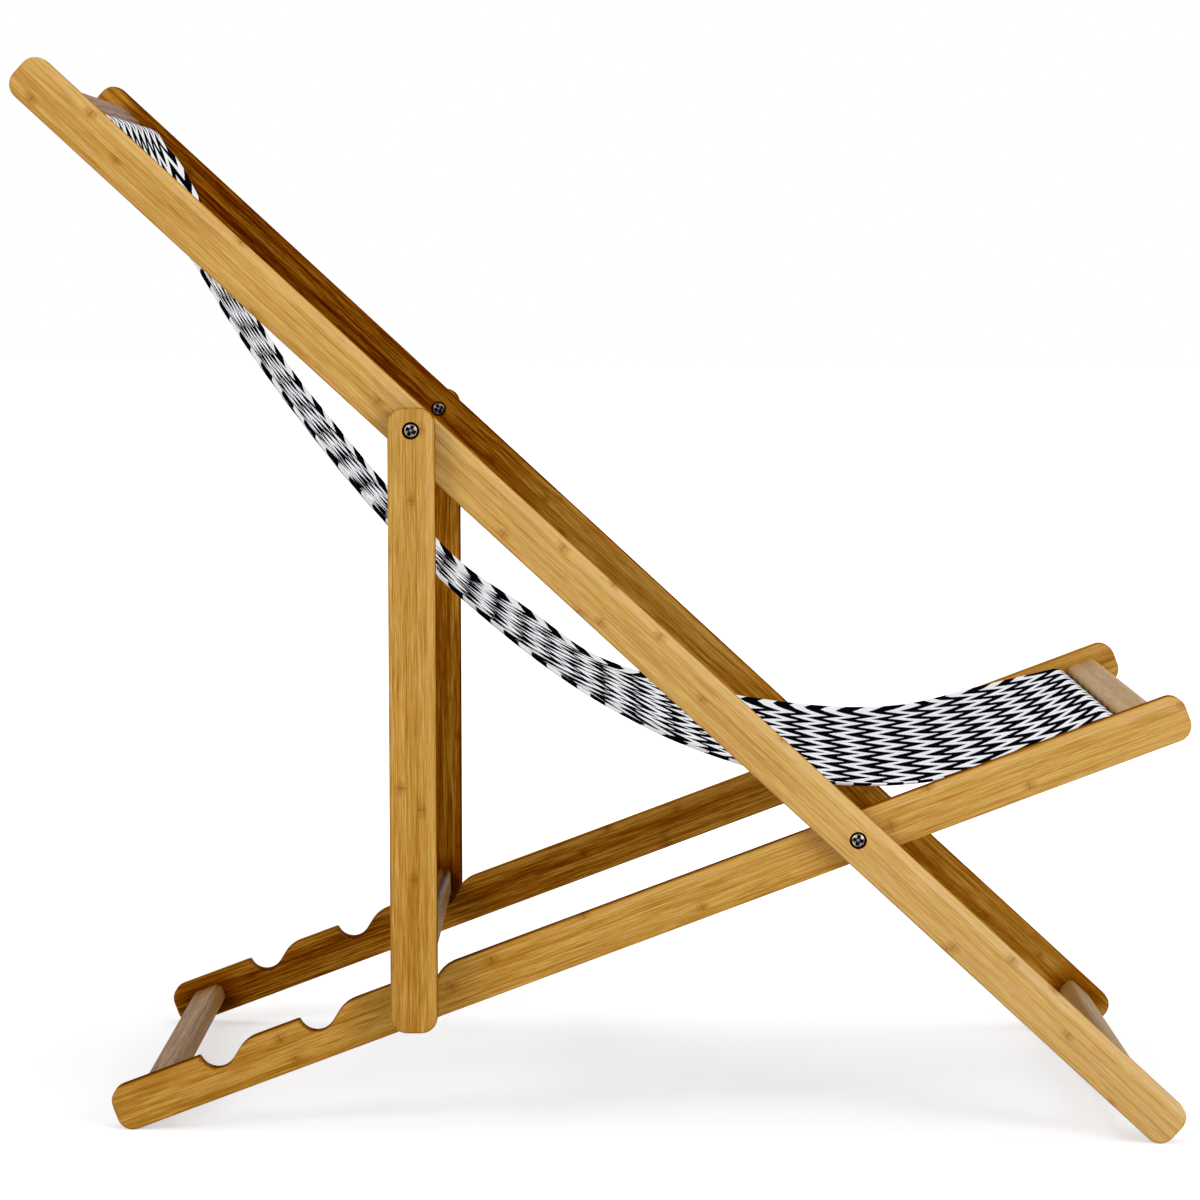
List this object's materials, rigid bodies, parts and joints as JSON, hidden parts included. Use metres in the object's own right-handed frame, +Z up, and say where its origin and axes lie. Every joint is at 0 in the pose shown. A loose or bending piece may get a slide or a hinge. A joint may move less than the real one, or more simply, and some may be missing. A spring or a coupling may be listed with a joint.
{
  "type": "folding recliner",
  "caption": "Folding bamboo deck chair with a hanging fabric sling, crossing back and seat frames, notched seat rails and a swinging prop frame.",
  "frame": {"origin": "on the floor under the middle of the whole chair, at the bottom centre of its bounding box", "axes": "+X towards the front of the seat, +Y towards the sitter's left, +Z up, standing as in use with the prop's bar in the foremost notches"},
  "size_m": [1.013, 0.59, 0.9222],
  "materials": {
    "bamboo_rail": "laminated bamboo, clear satin oil",
    "bamboo_bar": "laminated bamboo, clear satin oil",
    "steel": "satin",
    "sling_fabric": "woven black and white zig-zag cotton"
  },
  "bodies": {
    "back_frame": {"back_rail_left": "bamboo_rail", "back_rail_right": "bamboo_rail", "head_crossbar": "bamboo_bar", "head_sling_rod": "bamboo_bar", "foot_crossbar": "bamboo_bar", "main_pivot_screw_left": "steel", "main_pivot_screw_right": "steel", "main_pivot_sleeve_left": "steel", "main_pivot_sleeve_right": "steel", "main_pivot_washer_left": "steel", "main_pivot_washer_right": "steel", "prop_pivot_screw_left": "steel", "prop_pivot_screw_right": "steel", "prop_pivot_sleeve_left": "steel", "prop_pivot_sleeve_right": "steel", "prop_pivot_washer_left": "steel", "prop_pivot_washer_right": "steel", "sling": "sling_fabric"},
    "seat_frame": {"seat_rail_left": "bamboo_rail", "seat_rail_right": "bamboo_rail", "front_crossbar": "bamboo_bar", "seat_sling_rod": "bamboo_bar", "rear_crossbar": "bamboo_bar"},
    "prop_frame": {"prop_leg_left": "bamboo_rail", "prop_leg_right": "bamboo_rail", "prop_crossbar": "bamboo_bar"}
  },
  "joints": [
    {"name": "main_fold", "type": "hinge", "parent": "back_frame", "child": "seat_frame", "pos_m": [0.21977, 0, 0.26161], "axis": [0, 1, 0], "range_deg": [-16, 63.3], "deforming": ["sling"]},
    {"name": "prop_swing", "type": "hinge", "parent": "back_frame", "child": "prop_frame", "pos_m": [-0.16471, 0, 0.61023], "axis": [0, 1, 0], "range_deg": [0, 132.8]}
  ]
}
